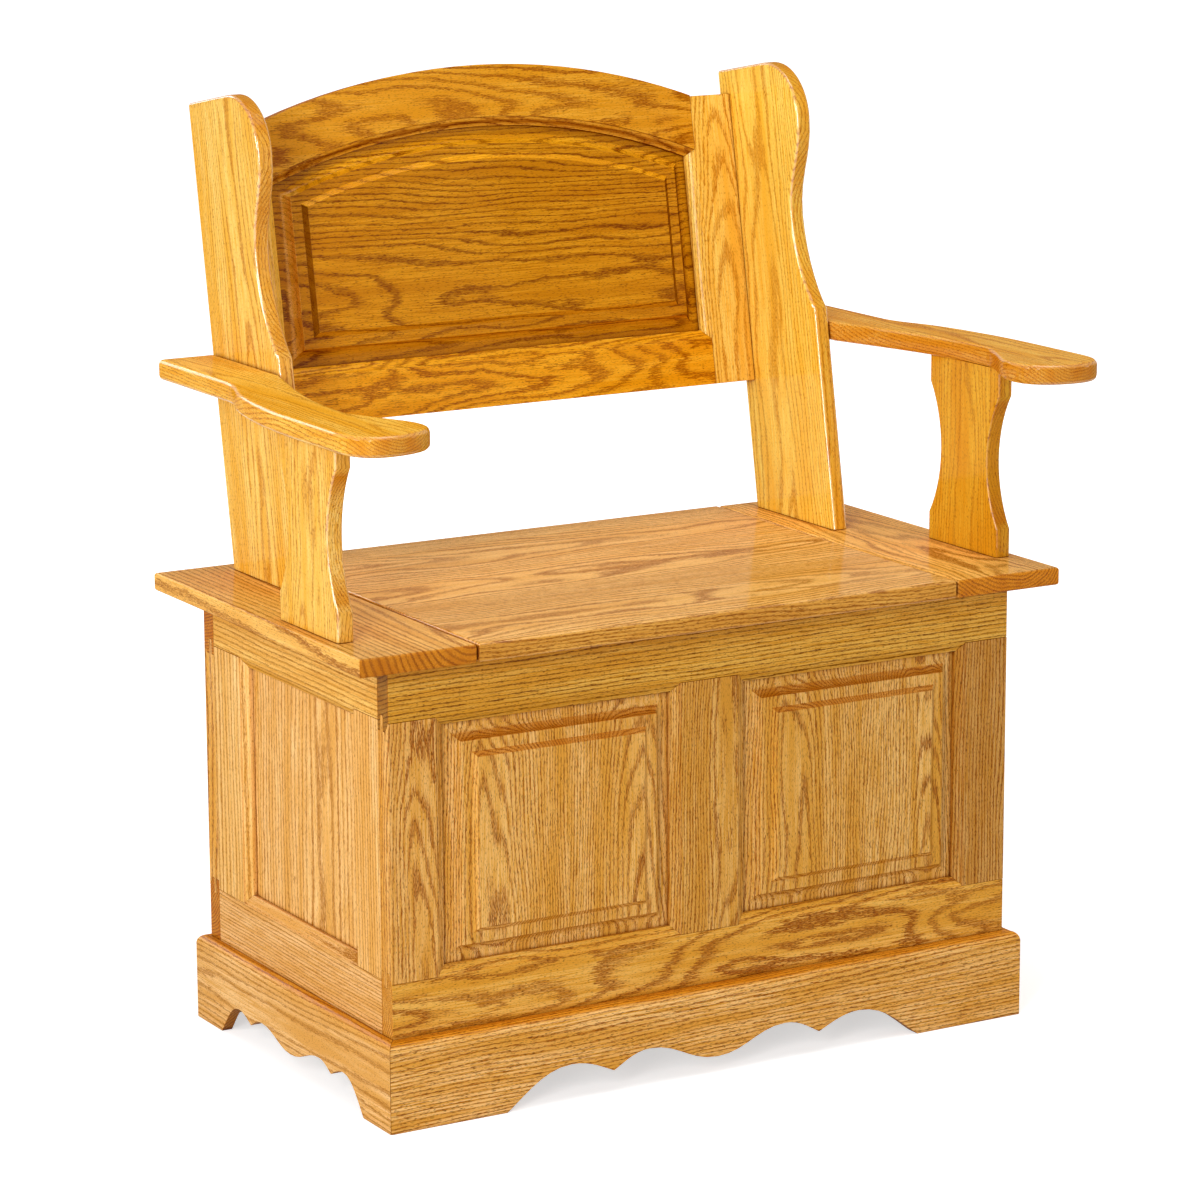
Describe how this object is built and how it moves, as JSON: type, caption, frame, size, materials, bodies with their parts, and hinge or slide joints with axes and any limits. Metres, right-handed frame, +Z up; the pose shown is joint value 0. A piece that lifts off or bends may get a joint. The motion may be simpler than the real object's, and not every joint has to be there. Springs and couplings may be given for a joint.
{
  "type": "settle bench",
  "caption": "Oak settle bench: panelled chest on a scalloped plinth, hinged lid seat, raked panelled back between shaped posts, and shaped arms",
  "frame": {"origin": "on the floor, under the middle of the bench's bounding box", "axes": "+X to the right as seen from the front, +Z up, front towards -Y; metres"},
  "size_m": [0.8662, 0.5778, 0.9838],
  "materials": {
    "oak_frame": "golden oak, satin to gloss clear varnish, open dark pores",
    "oak_panel": "golden oak panel, satin to gloss clear varnish",
    "oak_back_panel": "deeper golden oak panel with the grain running across, glossy clear varnish",
    "oak_seat": "golden oak boards, glossy clear varnish",
    "oak_upright": "pale golden oak, glossy clear varnish",
    "oak_inside": "unvarnished wood inside and under the chest",
    "brass": "plain brass, hidden when the lid is shut"
  },
  "bodies": {
    "chest": {"left_cap": "oak_seat", "right_cap": "oak_seat", "back_bottom_rail": "oak_upright", "back_top_rail": "oak_upright", "back_left_stile": "oak_upright", "back_right_stile": "oak_upright", "left_post": "oak_upright", "left_arm": "oak_upright", "left_arm_support": "oak_upright", "right_post": "oak_upright", "right_arm": "oak_upright", "right_arm_support": "oak_upright", "back_panel": "oak_back_panel", "front_left_panel": "oak_panel", "front_right_panel": "oak_panel", "rear_panel": "oak_panel", "left_side_panel": "oak_panel", "right_side_panel": "oak_panel", "front_bottom_rail": "oak_frame", "front_top_rail": "oak_frame", "front_left_stile": "oak_frame", "front_right_stile": "oak_frame", "front_centre_stile": "oak_frame", "rear_bottom_rail": "oak_frame", "rear_top_rail": "oak_frame", "rear_left_stile": "oak_frame", "rear_right_stile": "oak_frame", "plinth_front": "oak_frame", "plinth_rear": "oak_frame", "plinth_left": "oak_frame", "plinth_right": "oak_frame", "left_side_bottom_rail": "oak_frame", "left_side_top_rail": "oak_frame", "left_side_front_stile": "oak_frame", "left_side_rear_stile": "oak_frame", "right_side_bottom_rail": "oak_frame", "right_side_top_rail": "oak_frame", "right_side_front_stile": "oak_frame", "right_side_rear_stile": "oak_frame", "bottom_panel": "oak_inside", "front_cleat": "oak_inside", "rear_cleat": "oak_inside", "left_hinge_lower_leaf": "brass", "left_hinge_pin": "brass", "left_hinge_lower_screw_1": "brass", "left_hinge_lower_screw_2": "brass", "right_hinge_lower_leaf": "brass", "right_hinge_pin": "brass", "right_hinge_lower_screw_1": "brass", "right_hinge_lower_screw_2": "brass"},
    "lid": {"lid": "oak_seat", "left_hinge_upper_leaf": "brass", "left_hinge_upper_screw_1": "brass", "left_hinge_upper_screw_2": "brass", "right_hinge_upper_leaf": "brass", "right_hinge_upper_screw_1": "brass", "right_hinge_upper_screw_2": "brass"}
  },
  "joints": [
    {"name": "lid_hinge", "type": "hinge", "parent": "chest", "child": "lid", "pos_m": [0, 0.20884, 0.4627], "axis": [-1, 0, 0], "range_deg": [0, 80]}
  ]
}
